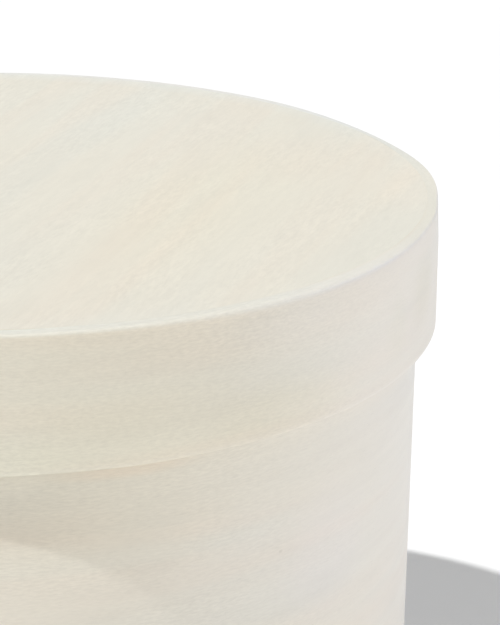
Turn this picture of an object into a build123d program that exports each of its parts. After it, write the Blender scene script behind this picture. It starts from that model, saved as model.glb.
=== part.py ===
"""A round chip-wood cheese box: a bent veneer wall with a glued-in base, and a lift-off lid made alike.

Units are millimetres. The origin is the centre of the base's underside and +Z is up.
Angles are in degrees about Z, counter-clockwise from +X. The front of the box is -Y.
"""

from build123d import *
import math
import os

MM = 1.0
full_turn = 360.0

# Overall sizes
lid_outer_radius = 75.0 * MM
total_height = 110.0 * MM
lid_height = 20.5 * MM

# Veneer strips
lid_veneer = 2.0 * MM
wall_veneer = 2.0 * MM
lid_clearance = 0.8 * MM

# Discs
lid_disc_thickness = 3.0 * MM
base_disc_thickness = 3.0 * MM
base_disc_edge_break = 0.4 * MM

# Seams, where a strip's pared ends lap over each other
feather_edge = 0.4 * MM
seam_glue_thickness = 0.1 * MM
lap_length = 30.0 * MM
climb_length = 20.0 * MM
seam_glue_inset = 0.6 * MM
lid_seam_angle = 135.0
wall_seam_angle = 85.0

# Glue between the discs and the strips
disc_glue_gap = 0.15 * MM
glue_inset = 0.3 * MM
base_bead_leg = 1.6 * MM

# Flat-wire staples through the laps
wire_width = 1.0 * MM
wire_thickness = 0.5 * MM
crown_length = 10.0 * MM
clinch_length = 3.4 * MM
wire_bend_radius = 0.4 * MM
staple_proud = 0.15 * MM
clinch_proud = 0.2 * MM
wall_staple_count = 3
wall_staple_margin = 18.0 * MM
lid_staple_count = 2
lid_staple_spacing = 11.0 * MM

# Places worked out from the sizes above
lid_inner_radius = lid_outer_radius - lid_veneer
wall_outer_radius = lid_inner_radius - lid_clearance
wall_inner_radius = wall_outer_radius - wall_veneer
lid_rim_z = total_height - lid_height
wall_top_z = total_height - lid_disc_thickness
seam_step = feather_edge + seam_glue_thickness


def polar(radius, angle):
    """The point at this radius and angle in degrees."""
    turn = math.radians(angle)
    return Vector(radius * math.cos(turn), radius * math.sin(turn))


def along(angle):
    """The counter-clockwise direction at this angle."""
    turn = math.radians(angle)
    return Vector(-math.sin(turn), math.cos(turn))


def arc(radius, start, end):
    """A round stretch about Z, from the start angle to the end angle, either way round."""
    middle = (start + end) / 2
    return ThreePointArc(polar(radius, start), polar(radius, middle), polar(radius, end))


def taper(start_radius, start, end_radius, end):
    """A stretch whose radius changes evenly from one angle to the other."""
    middle_radius = (start_radius + end_radius) / 2
    middle = (start + end) / 2
    return ThreePointArc(polar(start_radius, start), polar(middle_radius, middle), polar(end_radius, end))


def climb(start_radius, start, end_radius, end):
    """A stretch that leaves one circle and joins another smoothly."""
    heading = 1 if end > start else -1
    return Spline(
        polar(start_radius, start),
        polar(end_radius, end),
        tangents=(along(start) * heading, along(end) * heading),
    )


def seam_angles(inner_radius, centre):
    """Where a strip starts to climb, where its inner end lies and where its outer end lies."""
    lap = math.degrees(lap_length / inner_radius)
    rise = math.degrees(climb_length / inner_radius)
    inner_end = centre - lap / 2
    return inner_end - rise, inner_end, inner_end + lap


def bent_strip(inner_radius, thickness, seam_angle, bottom, top):
    """A strip of veneer bent round on itself, each end pared to a feather and lapped over the other."""
    rise, inner_end, outer_end = seam_angles(inner_radius, seam_angle)
    pared = inner_radius + feather_edge
    whole = inner_radius + thickness
    outline = [
        arc(inner_radius, inner_end, rise + full_turn),
        climb(inner_radius, rise, inner_radius + seam_step, inner_end),
        taper(inner_radius + seam_step, inner_end, whole + seam_glue_thickness, outer_end),
        Line(polar(whole + seam_glue_thickness, outer_end), polar(whole + seam_step, outer_end)),
        arc(whole + seam_step, outer_end, inner_end),
        climb(whole + seam_step, inner_end, whole, rise),
        arc(whole, rise + full_turn, outer_end),
        taper(whole, outer_end, pared, inner_end),
        Line(polar(pared, inner_end), polar(inner_radius, inner_end)),
    ]
    return Pos(0, 0, bottom) * extrude(make_face(outline), top - bottom)


def seam_glue(inner_radius, thickness, seam_angle, bottom, top):
    """The film of glue between a strip's two pared ends."""
    _, inner_end, outer_end = seam_angles(inner_radius, seam_angle)
    pared = inner_radius + feather_edge
    whole = inner_radius + thickness
    outline = [
        taper(pared, inner_end, whole, outer_end),
        Line(polar(whole, outer_end), polar(whole + seam_glue_thickness, outer_end)),
        taper(whole + seam_glue_thickness, outer_end, pared + seam_glue_thickness, inner_end),
        Line(polar(pared + seam_glue_thickness, inner_end), polar(pared, inner_end)),
    ]
    height = top - bottom - 2 * seam_glue_inset
    return Pos(0, 0, bottom + seam_glue_inset) * extrude(make_face(outline), height)


def staple(inner_radius, thickness, angle, height):
    """A flat-wire staple driven from outside, its crown upright and its legs clinched inside."""
    inner_face = inner_radius - clinch_proud
    outer_face = inner_radius + thickness + seam_step + staple_proud
    depth = outer_face - inner_face
    tip_gap = crown_length - 2 * clinch_length
    loop = RectangleRounded(depth, crown_length, wire_bend_radius)
    hollow = Rectangle(depth - 2 * wire_thickness, crown_length - 2 * wire_thickness)
    gap = Pos(-depth / 2, 0) * Rectangle(depth, tip_gap)
    upright = Plane(origin=(0, 0, 0), x_dir=(1, 0, 0), z_dir=(0, -1, 0))
    wire = extrude(upright * (loop - hollow - gap), wire_width / 2, both=True)
    return Rot(0, 0, angle) * Pos((inner_face + outer_face) / 2, 0, height) * wire


def wall_staples():
    """One column of staples up the wall's seam, below the lid's rim."""
    top = lid_rim_z - wall_staple_margin / 2
    step = (top - wall_staple_margin - crown_length / 2) / (wall_staple_count - 1)
    heights = [wall_staple_margin + step * i for i in range(wall_staple_count)]
    return [staple(wall_inner_radius, wall_veneer, wall_seam_angle, z) for z in heights]


def lid_staples():
    """A row of staples side by side across the lid's seam."""
    middle_z = (lid_rim_z + wall_top_z) / 2
    pitch = math.degrees(lid_staple_spacing / lid_outer_radius)
    first = lid_seam_angle - pitch * (lid_staple_count - 1) / 2
    angles = [first + pitch * i for i in range(lid_staple_count)]
    return [staple(lid_inner_radius, lid_veneer, angle, middle_z) for angle in angles]


def base_disc():
    """The base, glued in flush with the wall's lower edge."""
    disc = extrude(Circle(wall_inner_radius - disc_glue_gap), base_disc_thickness)
    upper_edges = disc.edges().group_by(Axis.Z)[-1]
    return chamfer(upper_edges, base_disc_edge_break)


def lid_disc():
    """The lid's top, glued in flush with the rim's upper edge."""
    disc = extrude(Circle(lid_inner_radius - disc_glue_gap), lid_disc_thickness)
    return Pos(0, 0, wall_top_z) * disc


def bore(inner_radius, seam_angle, height):
    """The space inside a strip, out to its inner face where that climbs over the inner end."""
    rise, inner_end, _ = seam_angles(inner_radius, seam_angle)
    outline = [
        arc(inner_radius, inner_end, rise + full_turn),
        climb(inner_radius, rise, inner_radius + seam_step, inner_end),
        Line(polar(inner_radius + seam_step, inner_end), polar(inner_radius, inner_end)),
    ]
    return extrude(make_face(outline), height)


def base_glue_bead():
    """Glue round the base's edge, run out into a hollow bead in the corner above it."""
    edge = wall_inner_radius - disc_glue_gap
    foot = wall_inner_radius - base_bead_leg
    floor = base_disc_thickness
    shoulder = edge - base_disc_edge_break
    bead_top = floor + base_bead_leg
    sag = base_bead_leg * (1 - math.sqrt(1 / 2))
    hollow = (wall_inner_radius - sag, 0, floor + sag)
    unglued = [
        Line((0, 0, 0), (edge, 0, 0)),
        Line((edge, 0, 0), (edge, 0, floor - base_disc_edge_break)),
        Line((edge, 0, floor - base_disc_edge_break), (shoulder, 0, floor)),
        Line((shoulder, 0, floor), (foot, 0, floor)),
        ThreePointArc((foot, 0, floor), hollow, (wall_inner_radius, 0, bead_top)),
        Line((wall_inner_radius, 0, bead_top), (0, 0, bead_top)),
        Line((0, 0, bead_top), (0, 0, 0)),
    ]
    filled = Pos(0, 0, glue_inset) * bore(wall_inner_radius, wall_seam_angle, bead_top - glue_inset)
    return filled - revolve(make_face(unglued), Axis.Z)


def lid_glue_line():
    """The thin line of glue between the lid's disc and its strip."""
    filled = bore(lid_inner_radius, lid_seam_angle, lid_disc_thickness - glue_inset)
    return Pos(0, 0, wall_top_z) * filled - lid_disc()


def cut_for(piece, staples):
    """The piece with the slots that the staples fill."""
    for wire in staples:
        piece = piece - wire
    return piece


def build():
    """Every piece of the box, by the name of its node."""
    wall_wires = wall_staples()
    lid_wires = lid_staples()
    wall = bent_strip(wall_inner_radius, wall_veneer, wall_seam_angle, 0, wall_top_z)
    wall_film = seam_glue(wall_inner_radius, wall_veneer, wall_seam_angle, 0, wall_top_z)
    rim = bent_strip(lid_inner_radius, lid_veneer, lid_seam_angle, lid_rim_z, total_height)
    rim_film = seam_glue(lid_inner_radius, lid_veneer, lid_seam_angle, lid_rim_z, total_height)
    return {
        "wall_band": cut_for(wall, wall_wires),
        "wall_seam_glue": cut_for(wall_film, wall_wires),
        "wall_seam_staples": Compound(wall_wires),
        "base_disc": base_disc(),
        "base_glue_bead": base_glue_bead(),
        "lid_band": cut_for(rim, lid_wires),
        "lid_seam_glue": cut_for(rim_film, lid_wires),
        "lid_seam_staples": Compound(lid_wires),
        "lid_disc": lid_disc(),
        "lid_glue_line": lid_glue_line(),
    }


os.makedirs("parts", exist_ok=True)
for node, shape in build().items():
    export_step(shape, f"parts/{node}.step")
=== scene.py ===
"""The look of a round veneer box with a lift-off lid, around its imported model.

Lengths are metres, in the model's frame: the origin is the centre of the box's underside, +Z is up
and the front is -Y. Angles about Z are in degrees, counter-clockwise from +X.
"""

import math

import bpy
from mathutils import Matrix, Vector, noise


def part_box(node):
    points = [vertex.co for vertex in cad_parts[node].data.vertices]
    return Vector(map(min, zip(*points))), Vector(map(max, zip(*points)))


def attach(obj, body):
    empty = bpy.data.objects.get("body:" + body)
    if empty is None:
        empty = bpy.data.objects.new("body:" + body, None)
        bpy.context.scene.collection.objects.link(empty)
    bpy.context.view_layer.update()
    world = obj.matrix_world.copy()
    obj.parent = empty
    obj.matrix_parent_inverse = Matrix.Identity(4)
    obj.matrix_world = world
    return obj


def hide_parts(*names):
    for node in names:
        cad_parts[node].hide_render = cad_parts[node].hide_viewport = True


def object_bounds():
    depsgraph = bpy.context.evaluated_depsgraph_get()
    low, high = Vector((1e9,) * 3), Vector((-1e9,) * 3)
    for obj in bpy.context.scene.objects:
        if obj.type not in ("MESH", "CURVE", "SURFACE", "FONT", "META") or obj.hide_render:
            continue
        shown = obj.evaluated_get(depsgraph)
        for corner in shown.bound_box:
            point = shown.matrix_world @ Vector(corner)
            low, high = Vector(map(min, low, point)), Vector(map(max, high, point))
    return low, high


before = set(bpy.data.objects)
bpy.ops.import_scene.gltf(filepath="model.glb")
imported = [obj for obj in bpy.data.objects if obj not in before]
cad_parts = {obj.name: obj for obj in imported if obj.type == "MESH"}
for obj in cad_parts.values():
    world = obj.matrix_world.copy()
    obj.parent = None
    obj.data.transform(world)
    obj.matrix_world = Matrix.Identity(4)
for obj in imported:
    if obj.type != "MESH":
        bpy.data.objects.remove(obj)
cad_low, cad_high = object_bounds()

mm = 0.001
full_turn = 360.0

# Sizes read from the frame
lid_low, lid_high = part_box("lid_band")
wall_low, wall_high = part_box("wall_band")
lid_disc_low, lid_disc_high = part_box("lid_disc")
base_disc_low, base_disc_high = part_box("base_disc")
lid_glue_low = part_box("lid_glue_line")[0]
bead_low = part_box("base_glue_bead")[0]
lid_outer = -lid_low.x
wall_outer = -wall_low.x
lid_inner = -lid_glue_low.x
wall_inner = -bead_low.x

# The laps, with the model's lengths, and how far short of the strip's edges their glue ends
lid_seam = 135.0
wall_seam = 85.0
lap_length = 30 * mm
climb_length = 20 * mm
feather = 0.4 * mm
glue_film = 0.1 * mm
film_inset = 0.25 * mm

# Mesh fineness along the strips and their glue, whose steps are in degrees, and round their edges
station_arc = 1.5 * mm
bead_step = 2.0
glue_line_step = 1.2
just_before = 1e-6
arris_steps = 6
wire_arris_steps = 3
cove_steps = 6

# Rows of points across a strip: even ones on its faces and edges, and some held near its corners,
# which take up no more than a share of a side at each end
lid_rows = 8
wall_rows = 26
upper_edge_rows = 8
lower_edge_rows = 2
arris_hold = 0.12 * mm
edge_rows = (0.08 * mm, 0.2 * mm, 0.35 * mm, 0.55 * mm, 0.8 * mm, 1.1 * mm, 1.5 * mm, 2.0 * mm)
held_share = 0.25

# A board's points: even rings, rings held at distances from its edge, and spokes
disc_rings = 14
disc_edge_rings = (5.0 * mm, 3.8 * mm, 2.7 * mm, 1.7 * mm, 0.8 * mm)
disc_spokes = 240

# The bead of glue round the base: its size, how far that wanders, and in how many waves
base_bead_leg = 1.6 * mm
bead_wander = 0.35 * mm
bead_waves = 9
fine_waves = 3.7
fine_share = 0.5
climb_waves = 1.6
climb_shift = Vector((5, 0, 0))

# Sanded edges, as radii: outside and inside at the top, outside and inside at the bottom. Each one
# takes up no more than a share of the strip's thickness
lid_arrises = (0.3 * mm, 0.012 * mm, 0.12 * mm, 0.15 * mm)
wall_arrises = (0.25 * mm, 0.2 * mm, 0.3 * mm, 0.05 * mm)
arris_share = 0.46
lid_disc_arris = 0.012 * mm
base_disc_arris = 0.25 * mm
seated_gap = 0.002 * mm

# The sander takes a little off a strip's outer face beside its upper edge, and lowers that edge
sanded_depth = 0.16 * mm
sanded_power = 2
sanded_height = 1.1 * mm
sanded_evenly = 0.88
sanded_fall = 0.12 * mm
fall_power = 1.6

# Both edges are paler, partly as sanded wood and partly as a painted highlight where they catch the
# light: how far above the lower one, how far below the upper one and how fully, and how the upper
# one's paleness starts at its inner side and grows outwards
pale_above = 0.8 * mm
pale_below = 0.8 * mm
pale_hold = 1.45
pale_inside = 0.3
pale_growth = 1.3

# Soft humps round the lid, each with its angle, its reach in degrees and how much more: how deep
# the sander bit, how pale the upper edge is, and how far that reaches in across the top. The upper
# edge's paleness is partly sanded wood and partly a painted highlight, faded where the edge turns
# from the light
lid_wear = [
    (-50.0, 17.0, 0.8),
    (30.0, 18.0, 0.7),
    (3.0, 8.0, -0.6),
    (20.0, 9.0, 0.7),
    (41.0, 7.0, -0.5),
]
lid_sanding_and_highlight_fade = [(-5.0, 22.0, -0.85)]
lid_blanch = [(70.0, 62.0, 1.0), (-82.0, 26.0, 0.25)]
blanch_width = 4.8 * mm

# On the right the strip's top leans in: soft humps with how far, and how far down the lean starts
lid_lean = [(-10.0, 4.5, 0.28 * mm), (-22.0, 8.0, 0.22 * mm)]
lean_reach = 6.0 * mm

# How far hand-bent strips stray from round: oval and three-cornered, and flared at the lid's foot
lid_seed = 1.3
wall_seed = 4.1
lid_oval = 0.07 * mm
wall_oval = 0.05 * mm
three_cornered = 0.6
lid_flare = 0.16 * mm
lid_flare_angle = -20.0
ripple_depth = 0.014 * mm
ripple_length = 7 * mm
ripple_tallness = 12

# How far they stray from level, with soft humps in the lid's lower edge
lid_skew = 0.35 * mm
lid_skew_angle = -10.0
skew_middle = 0.1
skew_swing = 0.5
lid_trim = [(-24.0, 11.0, 0.25 * mm), (-72.0, 5.0, -0.12 * mm)]
edge_wander = 0.05 * mm
edge_wander_length = 14 * mm

# Staples of flat wire, whose tips are hammered flatter and whose tilt is in degrees
wire_width = 1.0 * mm
wire_thickness = 0.5 * mm
crown_length = 10 * mm
clinch_length = 3.4 * mm
crown_proud = 0.15 * mm
clinch_proud = 0.2 * mm
bend_radius = 0.55 * mm
wire_round_off = 0.18 * mm
tip_flatness = 0.55
staple_tilt = 2.2
staple_seed_step = 3.7
lid_staple_spacing = 11 * mm
wall_staple_margin = 18 * mm
wall_staple_count = 3


def smooth(share):
    """Eases a share between 0 and 1 at both ends."""
    share = min(max(share, 0.0), 1.0)
    return share * share * (3 - 2 * share)


def blend(low, high, share):
    return low + (high - low) * share


def swell(angle, places):
    """The sum at an angle of soft humps, each with its angle, its reach and its height."""
    total = 0.0
    for middle, reach, height in places:
        off = (angle - middle + full_turn / 2) % full_turn - full_turn / 2
        total += height * math.exp(-((off / reach) ** 2))
    return total


class Ring:
    """One strip bent into a ring: where its laps lie and how far it strays from round."""

    def __init__(
        self, inner, outer, bottom, top, seam, seed, oval, flare=0.0, skew=0.0,
        trim=(), wear=(), fade=(), blanch=(), lean=()
    ):
        self.inner, self.outer, self.bottom, self.top = inner, outer, bottom, top
        self.thickness = outer - inner
        self.seed, self.oval, self.flare, self.skew = seed, oval, flare, skew
        # The fade and the reach set the upper edge's paleness, partly sanded wood and partly a
        # painted highlight
        self.trim, self.wear, self.fade, self.blanch, self.lean = trim, wear, fade, blanch, lean
        lap = math.degrees(lap_length / inner)
        self.inner_end = seam - lap / 2
        self.outer_end = self.inner_end + lap
        self.rise = self.inner_end - math.degrees(climb_length / inner)

    def stray(self, angle, height):
        """How far a point at this angle and height stands out from the true circle."""
        turn = math.radians(angle)
        oval = math.cos(2 * turn + self.seed)
        oval += three_cornered * math.cos(3 * turn + 2 * self.seed)
        free = 1 - smooth((height - self.bottom) / (self.top - self.bottom))
        side = 0.5 + 0.5 * math.cos(turn - math.radians(lid_flare_angle))
        return self.oval * oval + self.flare * free * side

    def low_edge(self, angle):
        """The height of the lower edge, which isn't cut quite level all the way round."""
        swing = math.cos(math.radians(angle - lid_skew_angle))
        tilt = self.skew * (skew_middle + skew_swing * swing)
        return self.bottom + tilt + swell(angle, self.trim)

    def worn(self, angle):
        """How deep the sander bit at an angle, as a share of its usual depth."""
        return sanded_evenly + swell(angle, self.wear)

    def ripple(self, run, height):
        """The faint flats and hollows that bending leaves along the strip."""
        place = Vector((run / ripple_length, height / (ripple_length * ripple_tallness), self.seed))
        return ripple_depth * noise.noise(place)

    def faces(self, angle):
        """The inner and outer radius at an angle that runs on past a full turn to the outer end."""
        step = feather + glue_film
        climb = smooth((angle - full_turn - self.rise) / (self.inner_end - self.rise))
        overlap = self.outer_end - self.inner_end
        lap = min(max((angle - full_turn - self.inner_end) / overlap, 0), 1)
        pare = min(max((angle - self.inner_end) / overlap, 0), 1)
        low = self.inner + step * climb + (self.thickness - feather) * lap
        high = self.inner + blend(feather, self.thickness, pare) + step * climb
        return low, high

    def bore(self, angle):
        """The radius of the strip's innermost face at any angle."""
        rise = (angle - self.rise) % full_turn
        span = self.inner_end - self.rise
        if rise < span:
            return self.inner + (feather + glue_film) * smooth(rise / span)
        return self.inner

    def inside(self, step):
        """Angles once round from the inner end, each with the radius of the innermost face."""
        joints = [self.inner_end, self.rise + full_turn, self.inner_end + full_turn]
        angles = spread(joints, step)
        bores = [self.bore(angle) for angle in angles[:-1]]
        # The face steps back at the inner end, so the last radius is taken just before it
        bores.append(self.bore(angles[-1] - just_before))
        return list(zip(angles, bores))

    def stations(self):
        """Angles along the strip from its inner end to its outer end, its joints among them."""
        joints = [self.inner_end, self.outer_end, self.rise + full_turn]
        joints += [self.inner_end + full_turn, self.outer_end + full_turn]
        return spread(joints, math.degrees(station_arc / self.outer))

    def run(self, angle):
        """How far along the strip's own grain an angle lies."""
        return math.radians((angle - self.inner_end) % full_turn) * self.outer + self.seed

    def point(self, radius, angle, height):
        """A point of the frame, with the ring's stray from round added."""
        radius = radius + self.stray(angle, height)
        turn = math.radians(angle)
        return Vector((radius * math.cos(turn), radius * math.sin(turn), height))


def spread(joints, step):
    """Values from the first joint to the last, every joint included, at most a step apart."""
    values = [joints[0]]
    for start, end in zip(joints, joints[1:]):
        count = max(1, math.ceil((end - start) / step))
        values += [blend(start, end, (i + 1) / count) for i in range(count)]
    return values


lid_ring = Ring(
    lid_inner, lid_outer, lid_low.z, lid_high.z, lid_seam, lid_seed, lid_oval, lid_flare, lid_skew,
    lid_trim, lid_wear, lid_sanding_and_highlight_fade, lid_blanch, lid_lean
)
wall_ring = Ring(
    wall_inner, wall_outer, wall_low.z, wall_high.z, wall_seam, wall_seed, wall_oval
)


def make_piece(name, points, faces, grain, body, node, material, pale=None):
    """A mesh that rides on a body, stands for a node and carries its wood's own coordinates."""
    mesh = bpy.data.meshes.new(name)
    mesh.from_pydata([tuple(p) for p in points], [], faces)
    mesh.attributes.new("grain", "FLOAT_VECTOR", "POINT")
    mesh.attributes["grain"].data.foreach_set("vector", [c for g in grain for c in g])
    mesh.attributes.new("pale", "FLOAT", "POINT")
    mesh.attributes["pale"].data.foreach_set("value", pale or [0.0] * len(points))
    mesh.shade_smooth()
    mesh.validate()
    piece = bpy.data.objects.new(name, mesh)
    bpy.context.scene.collection.objects.link(piece)
    mesh.materials.append(material)
    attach(piece, body)
    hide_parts(node)


def corner(centre_r, centre_z, radius, start, steps):
    """The points of a quarter round, counter-clockwise in the plane of radius and height."""
    points = []
    for i in range(steps + 1):
        turn = math.radians(start + 90 * i / steps)
        points.append((centre_r + radius * math.cos(turn), centre_z + radius * math.sin(turn)))
    return points


def straight(start, end, held, count):
    """Points between two corners: some held close to each, and even ones between them."""
    length = math.hypot(end[0] - start[0], end[1] - start[1])
    scale = min(1.0, length * held_share / held[-1])
    near = [row * scale / length for row in held]
    shares = near + [blend(near[-1], 1 - near[-1], i / count) for i in range(1, count)]
    shares += [1 - share for share in reversed(near)]
    return [(blend(start[0], end[0], s), blend(start[1], end[1], s)) for s in shares]


def section(low, high, bottom, top, arrises, rows):
    """A strip's outline across its length: a tall rectangle with four eased corners."""
    most = (high - low) * arris_share
    top_out, top_in, bottom_out, bottom_in = [min(a, most) for a in arrises]
    corners = [
        corner(low + bottom_in, bottom + bottom_in, bottom_in, 180, arris_steps),
        corner(high - bottom_out, bottom + bottom_out, bottom_out, 270, arris_steps),
        corner(high - top_out, top - top_out, top_out, 0, arris_steps),
        corner(low + top_in, top - top_in, top_in, 90, arris_steps),
    ]
    below, above = ((arris_hold,), lower_edge_rows), ((arris_hold,), upper_edge_rows)
    sides = [below, (edge_rows, rows), above, (edge_rows, rows)]
    outline = []
    for i, points in enumerate(corners):
        following = corners[(i + 1) % 4]
        outline += points + straight(points[-1], following[0], *sides[i])
    return outline


def sweep_faces(rings, size):
    """Quads between the rings of a swept outline, with a cap at each end."""
    faces = []
    for i in range(rings - 1):
        here, there = i * size, (i + 1) * size
        for j in range(size):
            k = (j + 1) % size
            faces.append((here + j, there + j, there + k, here + k))
    faces.append(tuple(range(size)))
    faces.append(tuple(reversed(range((rings - 1) * size, rings * size))))
    return faces


def strip(name, ring, arrises, rows, body, node, material):
    """A strip of veneer along its whole bent length, with laps, eased edges and slight waves."""
    points, grain, pale = [], [], []
    stations = ring.stations()
    for angle in stations:
        low, high = ring.faces(angle)
        lean = swell(angle, ring.lean)
        run = math.radians(angle - ring.inner_end) * ring.outer
        wander = noise.noise(Vector((run / edge_wander_length, ring.seed, 0))) * edge_wander
        bottom, worn = ring.low_edge(angle), ring.worn(angle)
        # How pale the upper edge is here and how far in that reaches: partly sanded wood, partly a
        # painted highlight
        paleness = 1 + swell(angle, ring.fade)
        inward = pale_inside + swell(angle, ring.blanch)
        eased = (arrises[0] * worn,) + arrises[1:]
        outline = section(low, high, bottom, ring.top + wander, eased, rows)
        for radius, height in outline:
            depth = ring.top - height
            outside = min(max((radius - ring.inner) / ring.thickness, 0), 1)
            sanded = max(0, 1 - depth / (sanded_height * worn))
            lift = ring.ripple(run, height)
            lift -= sanded_depth * worn * outside * sanded ** sanded_power
            lift -= lean * outside * max(0, 1 - depth / lean_reach)
            fall = sanded_fall * worn * sanded * outside ** fall_power
            points.append(ring.point(radius + lift, angle, height - fall))
            grain.append((run + ring.seed, height, radius - ring.inner))
            # The paler edges, partly sanded wood and partly a painted highlight where the edges
            # catch the light
            upper = smooth(pale_hold * (1 - depth / (pale_below * worn)))
            upper *= smooth(inward + outside * pale_growth)
            lower = smooth(1 - (height - bottom) / pale_above)
            pale.append(upper * paleness - lower)
    faces = sweep_faces(len(stations), len(outline))
    make_piece(name, points, faces, grain, body, node, material, pale)


def film(name, ring, body, node, material):
    """The glue between a strip's two laps, just short of its edges."""
    points, grain = [], []
    angles = spread([ring.inner_end, ring.outer_end], math.degrees(station_arc / ring.outer))
    bottom, top = ring.bottom + film_inset, ring.top - film_inset
    for angle in angles:
        low = ring.faces(angle)[1]
        high = ring.faces(angle + full_turn)[0]
        run = math.radians(angle) * ring.outer
        for radius, height in ((low, bottom), (high, bottom), (high, top), (low, top)):
            points.append(ring.point(radius, angle, height))
            grain.append((run, height, radius))
    faces = sweep_faces(len(angles), 4)
    make_piece(name, points, faces, grain, body, node, material)


def disc(name, ring, bottom, top, arris, grain_angle, body, node, material):
    """A round board that fills its strip, with eased edges and the grain straight across it."""
    edge = ring.inner - seated_gap
    flat = edge - arris
    wide = flat - disc_edge_rings[0]
    rings = [wide * (i + 1) / disc_rings for i in range(disc_rings)]
    rings += [flat - inset for inset in disc_edge_rings[1:] + (arris_hold, 0)]
    upper = [(r, top) for r in rings]
    upper += list(reversed(corner(flat, top - arris, arris, 0, arris_steps)))[1:]
    lower = list(reversed(corner(flat, bottom + arris, arris, 270, arris_steps)))
    lower += [(r, bottom) for r in reversed(rings[:-1])]
    outline = upper + lower
    points = [ring.point(0, 0, top), ring.point(0, 0, bottom)]
    points[0].xy = points[1].xy = (0, 0)
    pale = [0.0, 0.0]
    for spoke in range(disc_spokes):
        angle = full_turn * spoke / disc_spokes
        turn = math.radians(angle)
        outward = Vector((math.cos(turn), math.sin(turn), 0))
        # The rim's paleness reaching in across the board: partly sanded wood, partly a painted
        # highlight
        blanched = swell(angle, ring.blanch)
        for radius, height in outline:
            reach = radius + ring.stray(angle, height) * smooth(radius / edge)
            points.append(outward * reach + Vector((0, 0, height)))
            pale.append(blanched * max(0, 1 - (edge - radius) / blanch_width))
    size = len(outline)
    faces = []
    for spoke in range(disc_spokes):
        here, there = 2 + spoke * size, 2 + (spoke + 1) % disc_spokes * size
        faces.append((0, here, there))
        faces.append((1, there + size - 1, here + size - 1))
        faces += [(here + j, here + j + 1, there + j + 1, there + j) for j in range(size - 1)]
    rotation = Matrix.Rotation(math.radians(-grain_angle), 3, "Z")
    grain = [rotation @ point for point in points]
    make_piece(name, points, faces, grain, body, node, material, pale)


def bead(name, ring, bottom, floor, body, node, material):
    """Dried glue squeezed up in the corner above the base, wandering a little along its way."""
    points, grain = [], []
    stations = ring.inside(bead_step)
    edge = ring.inner - seated_gap
    arris = base_disc_arris
    shoulder = corner(edge - arris, floor - arris, arris, 0, arris_steps)
    for angle, bore in stations:
        turn = math.radians(angle)
        place = Vector((math.cos(turn), math.sin(turn), 0)) * bead_waves
        leg = base_bead_leg + bead_wander * noise.noise(place)
        leg += fine_share * bead_wander * noise.noise(place * fine_waves)
        climb = base_bead_leg + bead_wander * noise.noise(place * climb_waves + climb_shift)
        outline = [(edge, bottom), (bore, bottom), (bore, floor + climb)]
        for i in range(1, cove_steps):
            bend = math.radians(90 * i / cove_steps)
            inset, rise = leg * (1 - math.cos(bend)), climb * (1 - math.sin(bend))
            outline.append((bore - inset, floor + rise))
        outline += [(bore - leg, floor)] + list(reversed(shoulder))
        for radius, height in outline:
            points.append(ring.point(radius, angle, height))
            grain.append((turn * ring.inner, height, radius))
    faces = sweep_faces(len(stations), len(outline))
    make_piece(name, points, faces, grain, body, node, material)


def glue_line(name, ring, bottom, top, body, node, material):
    """The hair of glue between the lid's board and its strip, just below their upper faces."""
    points, grain = [], []
    stations = ring.inside(glue_line_step)
    edge = ring.inner - seated_gap - lid_disc_arris
    sunk = top - lid_disc_arris / 2
    for angle, bore in stations:
        outside = bore + lid_disc_arris
        outline = [(edge, bottom), (outside, bottom), (outside, sunk), (edge, sunk)]
        for radius, height in outline:
            points.append(ring.point(radius, angle, height))
            grain.append((math.radians(angle) * ring.inner, height, radius))
    faces = sweep_faces(len(stations), len(outline))
    make_piece(name, points, faces, grain, body, node, material)


def wire_path(depth):
    """A clinched staple's centre line, from one tip round to the other, about its middle."""
    half_depth = (depth - wire_thickness) / 2
    half_crown = (crown_length - wire_thickness) / 2
    tip = half_crown - clinch_length + wire_thickness
    bend = bend_radius
    path = [(-half_depth, -tip)]
    path += corner(bend - half_depth, bend - half_crown, bend, 180, arris_steps)
    path += corner(half_depth - bend, bend - half_crown, bend, 270, arris_steps)
    path += corner(half_depth - bend, half_crown - bend, bend, 0, arris_steps)
    path += corner(bend - half_depth, half_crown - bend, bend, 90, arris_steps)
    path.append((-half_depth, tip))
    return path


def wire_section():
    """The flat wire's outline: its width along the strip and its thickness across the bend."""
    across = wire_width / 2 - wire_round_off
    through = wire_thickness / 2 - wire_round_off
    outline = corner(across, through, wire_round_off, 0, wire_arris_steps)
    outline += corner(-across, through, wire_round_off, 90, wire_arris_steps)
    outline += corner(-across, -through, wire_round_off, 180, wire_arris_steps)
    outline += corner(across, -through, wire_round_off, 270, wire_arris_steps)
    return outline


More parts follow.
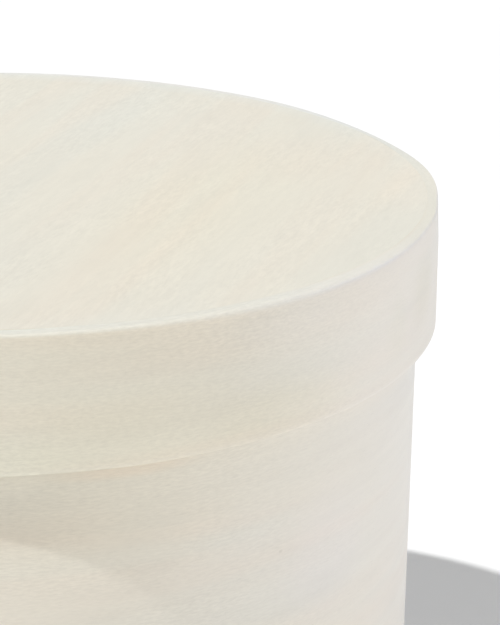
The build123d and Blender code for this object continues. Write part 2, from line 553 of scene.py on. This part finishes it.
def staples(name, ring, places, body, node, material):
    """Flat-wire staples through a lap, their crowns outside and their tips clinched inside."""
    points, faces, grain = [], [], []
    inner_face = ring.inner - clinch_proud
    outer_face = ring.outer + feather + glue_film + crown_proud
    middle = (inner_face + outer_face) / 2
    path = wire_path(outer_face - inner_face)
    shape = wire_section()
    upright = Vector((0, 0, 1))
    for index, (angle, height) in enumerate(places):
        first = len(points)
        draw = noise.noise(Vector((index * staple_seed_step, ring.seed, 0.5)))
        tilt = math.radians(staple_tilt * draw)
        turn = math.radians(angle)
        out = Vector((math.cos(turn), math.sin(turn), 0))
        side = Vector((-math.sin(turn), math.cos(turn), 0))
        up = upright * math.cos(tilt) + side * math.sin(tilt)
        aside = side * math.cos(tilt) - upright * math.sin(tilt)
        for i, (depth, rise) in enumerate(path):
            before, after = path[max(i - 1, 0)], path[min(i + 1, len(path) - 1)]
            heading = Vector((after[0] - before[0], after[1] - before[1])).normalized()
            flatness = tip_flatness if i in (0, len(path) - 1) else 1.0
            for along, across in shape:
                offset = Vector((-heading.y, heading.x)) * across * flatness
                reach = middle + depth + offset.x + ring.stray(angle, height)
                point = out * reach + aside * along + up * (rise + offset.y)
                points.append(point + Vector((0, 0, height)))
                grain.append((along, rise + index, depth))
        made = sweep_faces(len(path), len(shape))
        faces += [tuple(first + v for v in face) for face in made]
    make_piece(name, points, faces, grain, body, node, material)


class Nodes:
    """Short calls for building one material's nodes."""

    def __init__(self, name):
        self.material = bpy.data.materials.new(name)
        self.material.use_nodes = True
        self.tree = self.material.node_tree
        self.tree.nodes.clear()
        self.shader = self.add("ShaderNodeBsdfPrincipled")
        out = self.add("ShaderNodeOutputMaterial")
        self.link(self.shader.outputs[0], out.inputs["Surface"])
        self.grain = self.add("ShaderNodeAttribute")
        self.grain.attribute_name = "grain"

    def add(self, kind, **values):
        node = self.tree.nodes.new(kind)
        for key, value in values.items():
            setattr(node, key, value)
        return node

    def link(self, start, end):
        self.tree.links.new(start, end)

    def put(self, value, socket):
        if isinstance(value, bpy.types.NodeSocket):
            self.link(value, socket)
        else:
            socket.default_value = value

    def place(self, along, across, depth=None, shift=(0, 0, 0)):
        """The wood's own coordinates, counted in lengths along and across the grain."""
        node = self.add("ShaderNodeMapping")
        self.link(self.grain.outputs["Vector"], node.inputs["Vector"])
        node.inputs["Location"].default_value = shift
        node.inputs["Scale"].default_value = (1 / along, 1 / across, 1 / (depth or across))
        return node.outputs[0]

    def noise(self, vector, detail=2.0, roughness=0.5, distortion=0.0):
        node = self.add("ShaderNodeTexNoise")
        self.put(vector, node.inputs["Vector"])
        node.inputs["Scale"].default_value = 1.0
        node.inputs["Detail"].default_value = detail
        node.inputs["Roughness"].default_value = roughness
        node.inputs["Distortion"].default_value = distortion
        return node.outputs[0]

    def oval(self, along, across, length, height):
        """1 at the middle of an oval patch of the wood, fading softly to 0 at its rim."""
        spot = self.add("ShaderNodeTexGradient", gradient_type="SPHERICAL")
        shift = (-along / length, -across / height, 0)
        self.link(self.place(length, height, 1.0, shift=shift), spot.inputs[0])
        return self.span(spot.outputs["Fac"], 0.0, oval_full, smooth_step=True)

    def math(self, operation, a, b):
        node = self.add("ShaderNodeMath", operation=operation)
        self.put(a, node.inputs[0])
        self.put(b, node.inputs[1])
        return node.outputs[0]

    def span(self, value, low, high, out_low=0.0, out_high=1.0, smooth_step=False):
        """Maps a value's span onto another, without going past its ends."""
        node = self.add("ShaderNodeMapRange")
        node.interpolation_type = "SMOOTHSTEP" if smooth_step else "LINEAR"
        self.put(value, node.inputs["Value"])
        node.inputs["From Min"].default_value = low
        node.inputs["From Max"].default_value = high
        node.inputs["To Min"].default_value = out_low
        node.inputs["To Max"].default_value = out_high
        return node.outputs[0]

    def mix(self, share, a, b, blend_type="MIX"):
        node = self.add("ShaderNodeMix", data_type="RGBA", blend_type=blend_type)
        self.put(share, node.inputs[0])
        self.put(a, node.inputs[6])
        self.put(b, node.inputs[7])
        return node.outputs[2]

    def bump(self, height, distance):
        node = self.add("ShaderNodeBump")
        node.inputs["Distance"].default_value = distance
        node.inputs["Strength"].default_value = 1.0
        self.put(height, node.inputs["Height"])
        self.link(node.outputs[0], self.shader.inputs["Normal"])


# The wood's marks: the size of each kind along and across the grain
band_size = (160 * mm, 9 * mm)
shade_size = (120 * mm, 16 * mm)
streak_size = (15 * mm, 1.3 * mm)
fibre_size = (1.7 * mm, 0.17 * mm)
fleck_size = (1.4 * mm, 0.2 * mm)
patch_size = (22 * mm, 7 * mm)
cluster_size = (24 * mm, 9 * mm)

# The part of its noise over which each kind comes in
band_span = (0.42, 0.62)
shade_span = (0.5, 0.68)
fine_span = (0.3, 0.7)
fleck_span = (0.62, 0.78)
patch_span = (0.55, 0.75)
cluster_span = (0.35, 0.65)

# How much light each kind leaves, from its one end to its other, and how full the grey shades get
mottle_light = (-0.034, 0.030)
streak_light = (0.985, 1.012)
fibre_light = (0.989, 1.009)
fleck_light = (1.0, 0.95)
patch_light = (1.0, 0.975)
shade_full = 0.8

# The share of the mottle that is left in a still patch, and where a patch's gradient is at its full
still_share = 0.25
oval_full = 0.8

# The wood's gloss and relief
wood_roughness = (0.52, 0.64)
wood_specular = 0.4
wood_relief = 0.005 * mm
streak_relief = 1.5
fleck_relief = 0.8


def wood(name, tones, mottle, tint_and_light_patches=(), still=()):
    """Bare sanded poplar: cream, with faint warm and grey bands, fine streaks and dark flecks.

    Each tint patch is a soft oval: its place along and across the grain, its reach each way and its
    tint. Most are the wood's own tone and some are painted light or shade. Each still patch is an
    oval where the mottle dies down.
    """
    n = Nodes(name)
    pale, warm, grey = tones
    mottle_length, mottle_width, calm, lively = mottle
    bands = n.noise(n.place(*band_size), 2.0, 0.5, distortion=0.3)
    shades = n.noise(n.place(*shade_size, shift=(3, 1, 2)), 1.0, 0.5)
    colour = n.mix(n.span(bands, *band_span, smooth_step=True), pale, warm)
    colour = n.mix(n.span(shades, *shade_span, 0.0, shade_full, True), colour, grey)
    for *oval, tint in tint_and_light_patches:
        colour = n.mix(n.oval(*oval), colour, tint, "MULTIPLY")
    streaks = n.noise(n.place(*streak_size), 3.0, 0.5, distortion=0.15)
    marks = n.noise(n.place(mottle_length, mottle_width, shift=(2, 9, 6)), 2.0, 0.6)
    fibres = n.noise(n.place(*fibre_size), 2.0, 0.6)
    flecks = n.noise(n.place(*fleck_size, shift=(7, 3, 5)), 1.0, 0.5)
    flecks = n.span(flecks, *fleck_span, smooth_step=True)
    patches = n.noise(n.place(*patch_size, shift=(1, 8, 4)), 2.0, 0.5)
    clusters = n.noise(n.place(*cluster_size, shift=(5, 2, 8)), 1.0)
    strength = n.span(clusters, *cluster_span, calm, lively)
    for oval in still:
        left = n.span(n.oval(*oval), 0.0, 1.0, 1.0, still_share)
        strength = n.math("MULTIPLY", strength, left)
    marks = n.math("MULTIPLY", n.span(marks, *fine_span, *mottle_light), strength)
    light = n.math("ADD", marks, 1.0)
    light = n.math("MULTIPLY", light, n.span(streaks, *fine_span, *streak_light))
    light = n.math("MULTIPLY", light, n.span(fibres, *fine_span, *fibre_light))
    light = n.math("MULTIPLY", light, n.span(flecks, 0.0, 1.0, *fleck_light))
    light = n.math("MULTIPLY", light, n.span(patches, *patch_span, *patch_light, True))
    grey_scale = n.add("ShaderNodeCombineColor")
    for socket in grey_scale.inputs:
        n.link(light, socket)
    colour = n.mix(1.0, colour, grey_scale.outputs[0], "MULTIPLY")
    # Paler edges: partly sanded wood and partly a painted highlight where they catch the light
    edge = n.add("ShaderNodeAttribute")
    edge.attribute_name = "pale"
    colour = n.mix(n.span(edge.outputs["Fac"], 0.0, 1.0), colour, upper_edge_sanding_and_highlight, "MULTIPLY")
    colour = n.mix(n.span(edge.outputs["Fac"], 0.0, -1.0), colour, lower_edge_sanding_and_highlight, "MULTIPLY")
    n.link(colour, n.shader.inputs["Base Color"])
    n.link(n.span(fibres, *fine_span, *wood_roughness), n.shader.inputs["Roughness"])
    n.shader.inputs["Specular IOR Level"].default_value = wood_specular
    height = n.math("ADD", fibres, n.math("MULTIPLY", streaks, streak_relief))
    height = n.math("SUBTRACT", height, n.math("MULTIPLY", flecks, fleck_relief))
    n.bump(height, wood_relief)
    return n.material


# Dried glue: the size of its clouds and lumps, its gloss, how far light goes into it and its relief
glue_cloud_size = (6 * mm, 2 * mm)
glue_lump_size = (1.5 * mm, 0.8 * mm)
glue_roughness = (0.28, 0.42)
glue_depth_share = 0.15
glue_depth = 0.6 * mm
glue_relief = 0.04 * mm


def dried_glue(name, pale, dark):
    """Dried wood glue: pale amber, slightly glossy, with small clouds."""
    n = Nodes(name)
    clouds = n.noise(n.place(*glue_cloud_size), 3.0, 0.5)
    n.link(n.mix(n.span(clouds, *cluster_span), pale, dark), n.shader.inputs["Base Color"])
    n.link(n.span(clouds, *fine_span, *glue_roughness), n.shader.inputs["Roughness"])
    n.shader.inputs["Subsurface Weight"].default_value = glue_depth_share
    n.shader.inputs["Subsurface Scale"].default_value = glue_depth
    n.bump(n.noise(n.place(*glue_lump_size)), glue_relief)
    return n.material


# Zinc-coated wire: the size of its drawn lines and its spots, its gloss and its relief
drawn_size = (0.12 * mm, 4 * mm, 0.5 * mm)
spot_size = (0.9 * mm, 2.6 * mm, 0.9 * mm)
wire_roughness = (0.24, 0.42)
wire_relief = 0.006 * mm


def galvanised(name, bright, dull):
    """Zinc-coated steel wire, drawn along its length and a little dull."""
    n = Nodes(name)
    drawn = n.noise(n.place(*drawn_size), 2.0, 0.6)
    spots = n.noise(n.place(*spot_size), 2.0, 0.5)
    n.link(n.mix(n.span(spots, *cluster_span), bright, dull), n.shader.inputs["Base Color"])
    n.link(n.span(drawn, *fine_span, *wire_roughness), n.shader.inputs["Roughness"])
    n.shader.inputs["Metallic"].default_value = 1.0
    n.bump(drawn, wire_relief)
    return n.material


def on_ring(ring, ovals):
    """Ovals given by angle, and by height and reach each way in millimetres, placed on a strip."""
    placed = []
    for angle, height, along, across, *tint in ovals:
        placed.append((ring.run(angle), height * mm, along * mm, across * mm, *tint))
    return placed


# How much paler a strip's edges are, partly sanded wood and partly a painted highlight where the
# edges catch the light, and the woods' pale, warm and grey colours
upper_edge_sanding_and_highlight = (0.997, 1.034, 1.081, 1)
lower_edge_sanding_and_highlight = (1.042, 1.048, 1.065, 1)
wood_tones = [(0.782, 0.749, 0.653, 1), (0.787, 0.738, 0.638, 1), (0.760, 0.741, 0.657, 1)]
rim_tones = [(0.765, 0.739, 0.641, 1), (0.770, 0.728, 0.627, 1), (0.744, 0.731, 0.644, 1)]

# The two colours of the glue's clouds and of the wire's zinc
glue_pale = (0.74, 0.67, 0.51, 1)
glue_dark = (0.66, 0.56, 0.38, 1)
zinc_bright = (0.50, 0.50, 0.51, 1)
zinc_dull = (0.40, 0.40, 0.41, 1)

# The boards' grain, as angles, and each wood's fine mottle: its length, its width, and how strong
# it is where it is calmest and where it is liveliest
lid_grain = 68.0
base_grain = 20.0
rim_mottle = (1.1 * mm, 0.34 * mm, 1.15, 1.7)
wall_mottle = (1.4 * mm, 0.33 * mm, 0.62, 1.6)
board_mottle = (2.4 * mm, 0.62 * mm, 0.3, 1.3)

# Soft patches of tint: the strips' by angle, height, and reach along and across the grain in mm,
# the boards' by place along and across the grain, and reach each way. Most are the wood's own tone;
# the painted light and shade among them are marked
lid_tints_and_painted_light = on_ring(lid_ring, [
    (-33, 98, 5, 7, (0.978, 0.985, 0.97, 1)),
    (-53, 97, 12, 5, (0.982, 0.985, 0.98, 1)),
    (-43, 99, 32, 40, (1.034, 1.032, 1.042, 1)),
    (-24, 101, 8, 8, (0.975, 0.975, 0.95, 1)),
    (-70, 95, 30, 8, (0.998, 0.99, 0.968, 1)),
    (-36, 110, 30, 2.5, (0.98, 0.978, 0.984, 1)),
    (-84, 89.8, 1.2, 0.3, (1.06, 1.06, 1.06, 1)),
    (-69, 90, 19, 6, (1.036, 1.036, 1.034, 1)),
    (-86, 91, 14, 5, (1.016, 1.018, 1.0, 1)),
    (-54, 93, 19, 6, (1.006, 0.998, 0.968, 1)),
    (-54, 106.5, 16, 5, (0.985, 1.0, 1.018, 1)),
    (-77, 104, 16, 8, (0.982, 0.989, 0.996, 1)),
    # Painted shade along the lid's right outline, where the side turns from the light
    (-10, 100, 11, 60, (0.978, 0.98, 0.985, 1)),
    # A painted highlight at the right tip of the upper edge
    (-3, 110, 20, 1.2, (1.045, 1.03, 1.03, 1)),
    # Along the far upper edge, partly paler sanded wood and partly a painted highlight
    (58, 110, 85, 0.8, (1.028, 1.022, 1.07, 1)),
])
wall_tints_and_painted_light = on_ring(wall_ring, [
    # Two darker patches in the lid's shadow on the wall, near its edge
    (-84, 81.5, 15, 6, (0.975, 0.97, 0.97, 1)),
    (-71, 78.5, 9, 5, (0.975, 0.985, 0.99, 1)),
    # Painted warm shade just under the lid's lower edge
    (-73, 87.9, 15, 1.8, (1.02, 0.972, 0.945, 1)),
    # Painted light just under the lid's lower edge, at the front
    (-86, 87.5, 6, 2.5, (1.045, 1.04, 1.04, 1)),
    (-52.3, 69.5, 0.55, 0.4, (0.9, 0.9, 0.89, 1)),
    (-68, 63, 48, 13, (0.982, 0.985, 0.986, 1)),
    (-44, 66, 14, 16, (1.008, 1.002, 1.024, 1)),
    (-57, 75, 13, 6, (0.988, 1.0, 1.014, 1)),
    # Painted shade along the wall's right outline, where the side turns from the light
    (-10, 70, 11, 90, (0.975, 0.978, 0.985, 1)),
    # Bluer over the lower part of the wall near the front
    (-76, 66, 70, 16, (1.0, 1.018, 1.055, 1)),
])
board_tints_and_painted_highlight = [
    (0.0, -39 * mm, 62 * mm, 20 * mm, (1.008, 1.0, 0.972, 1)),
    (54 * mm, -5 * mm, 40 * mm, 36 * mm, (0.995, 1.01, 1.024, 1)),
    (32 * mm, -46 * mm, 24 * mm, 16 * mm, (1.008, 0.988, 0.98, 1)),
    # A painted highlight at the board's right edge, beside the tip of the lid's upper edge
    (22 * mm, -69 * mm, 22 * mm, 11 * mm, (1.035, 1.012, 0.998, 1)),
]

# Where the mottle dies down on the strips
lid_still = on_ring(lid_ring, [(-20, 100, 56, 60)])
wall_still = on_ring(wall_ring, [(-24, 66, 50, 80)])

rim_wood = wood("lid_veneer", rim_tones, rim_mottle, lid_tints_and_painted_light, lid_still)
wall_wood = wood("wall_veneer", wood_tones, wall_mottle, wall_tints_and_painted_light, wall_still)
board_wood = wood("board_face", wood_tones, board_mottle, board_tints_and_painted_highlight)
glue = dried_glue("dried_glue", glue_pale, glue_dark)
wire = galvanised("galvanised_wire", zinc_bright, zinc_dull)

strip("lid_rim", lid_ring, lid_arrises, lid_rows, "lid", "lid_band", rim_wood)
strip("wall", wall_ring, wall_arrises, wall_rows, "box", "wall_band", wall_wood)
disc(
    "lid_board", lid_ring, lid_disc_low.z, lid_disc_high.z, lid_disc_arris, lid_grain,
    "lid", "lid_disc", board_wood
)
disc(
    "base_board", wall_ring, base_disc_low.z, base_disc_high.z, base_disc_arris, base_grain,
    "box", "base_disc", board_wood
)
film("lid_lap_glue", lid_ring, "lid", "lid_seam_glue", glue)
film("wall_lap_glue", wall_ring, "box", "wall_seam_glue", glue)
bead("base_bead", wall_ring, bead_low.z, base_disc_high.z, "box", "base_glue_bead", glue)
glue_line("lid_board_glue", lid_ring, lid_disc_low.z, lid_high.z, "lid", "lid_glue_line", glue)

pitch = math.degrees(lid_staple_spacing / lid_outer)
lid_staple_z = (lid_low.z + wall_high.z) / 2
lid_places = [(lid_seam - pitch / 2, lid_staple_z), (lid_seam + pitch / 2, lid_staple_z)]
highest = lid_low.z - wall_staple_margin / 2 - crown_length / 2
wall_places = [
    (wall_seam, blend(wall_staple_margin, highest, i / (wall_staple_count - 1)))
    for i in range(wall_staple_count)
]
staples("lid_staples", lid_ring, lid_places, "lid", "lid_seam_staples", wire)
staples("wall_staples", wall_ring, wall_places, "box", "wall_seam_staples", wire)


# The floor and the light

def background_share(tree):
    """1 for rays that should meet a plain white background, 0 for rays that carry light."""
    path = tree.nodes.new("ShaderNodeLightPath")
    share = path.outputs["Is Camera Ray"]
    for kind in ("Is Glossy Ray", "Is Transmission Ray"):
        either = tree.nodes.new("ShaderNodeMath")
        either.operation = "MAXIMUM"
        tree.links.new(share, either.inputs[0])
        tree.links.new(path.outputs[kind], either.inputs[1])
        share = either.outputs[0]
    return share


def make_floor():
    """A wide pale floor, white to the eye, that keeps the box's shadow."""
    n = Nodes("floor_white")
    n.shader.inputs["Roughness"].default_value = 1.0
    n.shader.inputs["Specular IOR Level"].default_value = 0.0
    seen = background_share(n.tree)
    n.link(n.mix(seen, floor_bounce, floor_seen), n.shader.inputs["Base Color"])
    bpy.ops.mesh.primitive_circle_add(vertices=floor_sides, radius=floor_radius, fill_type="NGON")
    floor = bpy.context.object
    floor.name = "floor"
    floor.location.z = -floor_drop
    floor.data.materials.append(n.material)


def make_world():
    """Even white surroundings: their light on the box, and plain white behind it."""
    world = bpy.data.worlds.new("surroundings")
    bpy.context.scene.world = world
    world.use_nodes = True
    tree = world.node_tree
    tree.nodes.clear()
    light = tree.nodes.new("ShaderNodeBackground")
    light.inputs["Color"].default_value = world_colour
    light.inputs["Strength"].default_value = world_strength
    white = tree.nodes.new("ShaderNodeBackground")
    white.inputs["Color"].default_value = backdrop_white
    mixed = tree.nodes.new("ShaderNodeMixShader")
    tree.links.new(background_share(tree), mixed.inputs[0])
    tree.links.new(light.outputs[0], mixed.inputs[1])
    tree.links.new(white.outputs[0], mixed.inputs[2])
    out = tree.nodes.new("ShaderNodeOutputWorld")
    tree.links.new(mixed.outputs[0], out.inputs["Surface"])


def aim(azimuth_left, elevation):
    """The direction towards a lamp, from its angle to the left of the front and its height."""
    left, up = math.radians(azimuth_left), math.radians(elevation)
    return Vector((-math.sin(left) * math.cos(up), -math.cos(left) * math.cos(up), math.sin(up)))


def make_sun():
    lamp = bpy.data.lights.new("key", "SUN")
    lamp.energy = key_strength
    lamp.color = key_colour
    lamp.angle = math.radians(key_width)
    sun = bpy.data.objects.new("key", lamp)
    sun.rotation_mode = "QUATERNION"
    sun.rotation_quaternion = aim(key_left, key_elevation).to_track_quat("Z", "Y")
    bpy.context.scene.collection.objects.link(sun)


def make_panel(name, azimuth_left, strength, colour):
    """A low soft light that faces the box."""
    lamp = bpy.data.lights.new(name, "AREA")
    lamp.shape = "DISK"
    lamp.size = panel_size
    lamp.energy = strength
    lamp.color = colour
    panel = bpy.data.objects.new(name, lamp)
    towards = aim(azimuth_left, panel_elevation)
    panel.location = towards * panel_distance + Vector((0, 0, cad_high.z / 2))
    panel.rotation_mode = "QUATERNION"
    panel.rotation_quaternion = towards.to_track_quat("Z", "Y")
    bpy.context.scene.collection.objects.link(panel)


def make_camera():
    """The photograph's camera: in front and above, turned a little to the right and down."""
    data = bpy.data.cameras.new("camera")
    data.lens = camera_lens
    camera = bpy.data.objects.new("camera", data)
    camera.location = (0, -camera_away * lid_outer, lid_high.z + camera_above * lid_outer)
    pan, tilt, roll = (math.radians(a) for a in (camera_pan, camera_tilt, camera_roll))
    level = math.cos(tilt)
    ahead = Vector((math.sin(pan) * level, math.cos(pan) * level, -math.sin(tilt)))
    right = ahead.cross(Vector((0, 0, 1))).normalized()
    up = right.cross(ahead)
    rolled_right = right * math.cos(roll) + up * math.sin(roll)
    rolled_up = up * math.cos(roll) - right * math.sin(roll)
    camera.rotation_mode = "QUATERNION"
    turned = Matrix((rolled_right, rolled_up, -ahead)).transposed()
    camera.rotation_quaternion = turned.to_quaternion()
    bpy.context.scene.collection.objects.link(camera)
    bpy.context.scene.camera = camera


# The floor and the white behind it
floor_radius = 12.0
floor_sides = 96
floor_drop = 0.02 * mm
floor_bounce = (0.80, 0.80, 0.80, 1)
floor_seen = (1.0, 1.0, 1.0, 1)
backdrop_white = (1.0, 1.0, 1.0, 1)

# The surroundings' even light, and a sun at the upper left with its width and angles in degrees
world_colour = (1.0, 1.0, 0.976, 1)
world_strength = 0.421
key_strength = 2.101
key_colour = (1.0, 1.0, 1.0)
key_width = 1.35
key_left = 61.9
key_elevation = 59.8

# Two low soft lights on the right, a warm one and a cool one, in watts
panel_distance = 1.6
panel_elevation = 3.0
panel_size = 0.5
warm_left = -50.0
warm_strength = 6.86
warm_colour = (1.0, 0.868, 0.700)
cool_left = -100.0
cool_strength = 7.14
cool_colour = (0.355, 0.517, 1.0)

# The camera: its lens in mm, its place in radii of the lid and its turns in degrees
camera_lens = 148.988
camera_away = 5.35311
camera_above = 1.52112
camera_pan = 6.4527
camera_tilt = 18.7452
camera_roll = 1.121

make_floor()
make_world()
make_sun()
make_panel("fill_right", warm_left, warm_strength, warm_colour)
make_panel("fill_side", cool_left, cool_strength, cool_colour)
make_camera()
bpy.context.scene.view_settings.view_transform = "Standard"
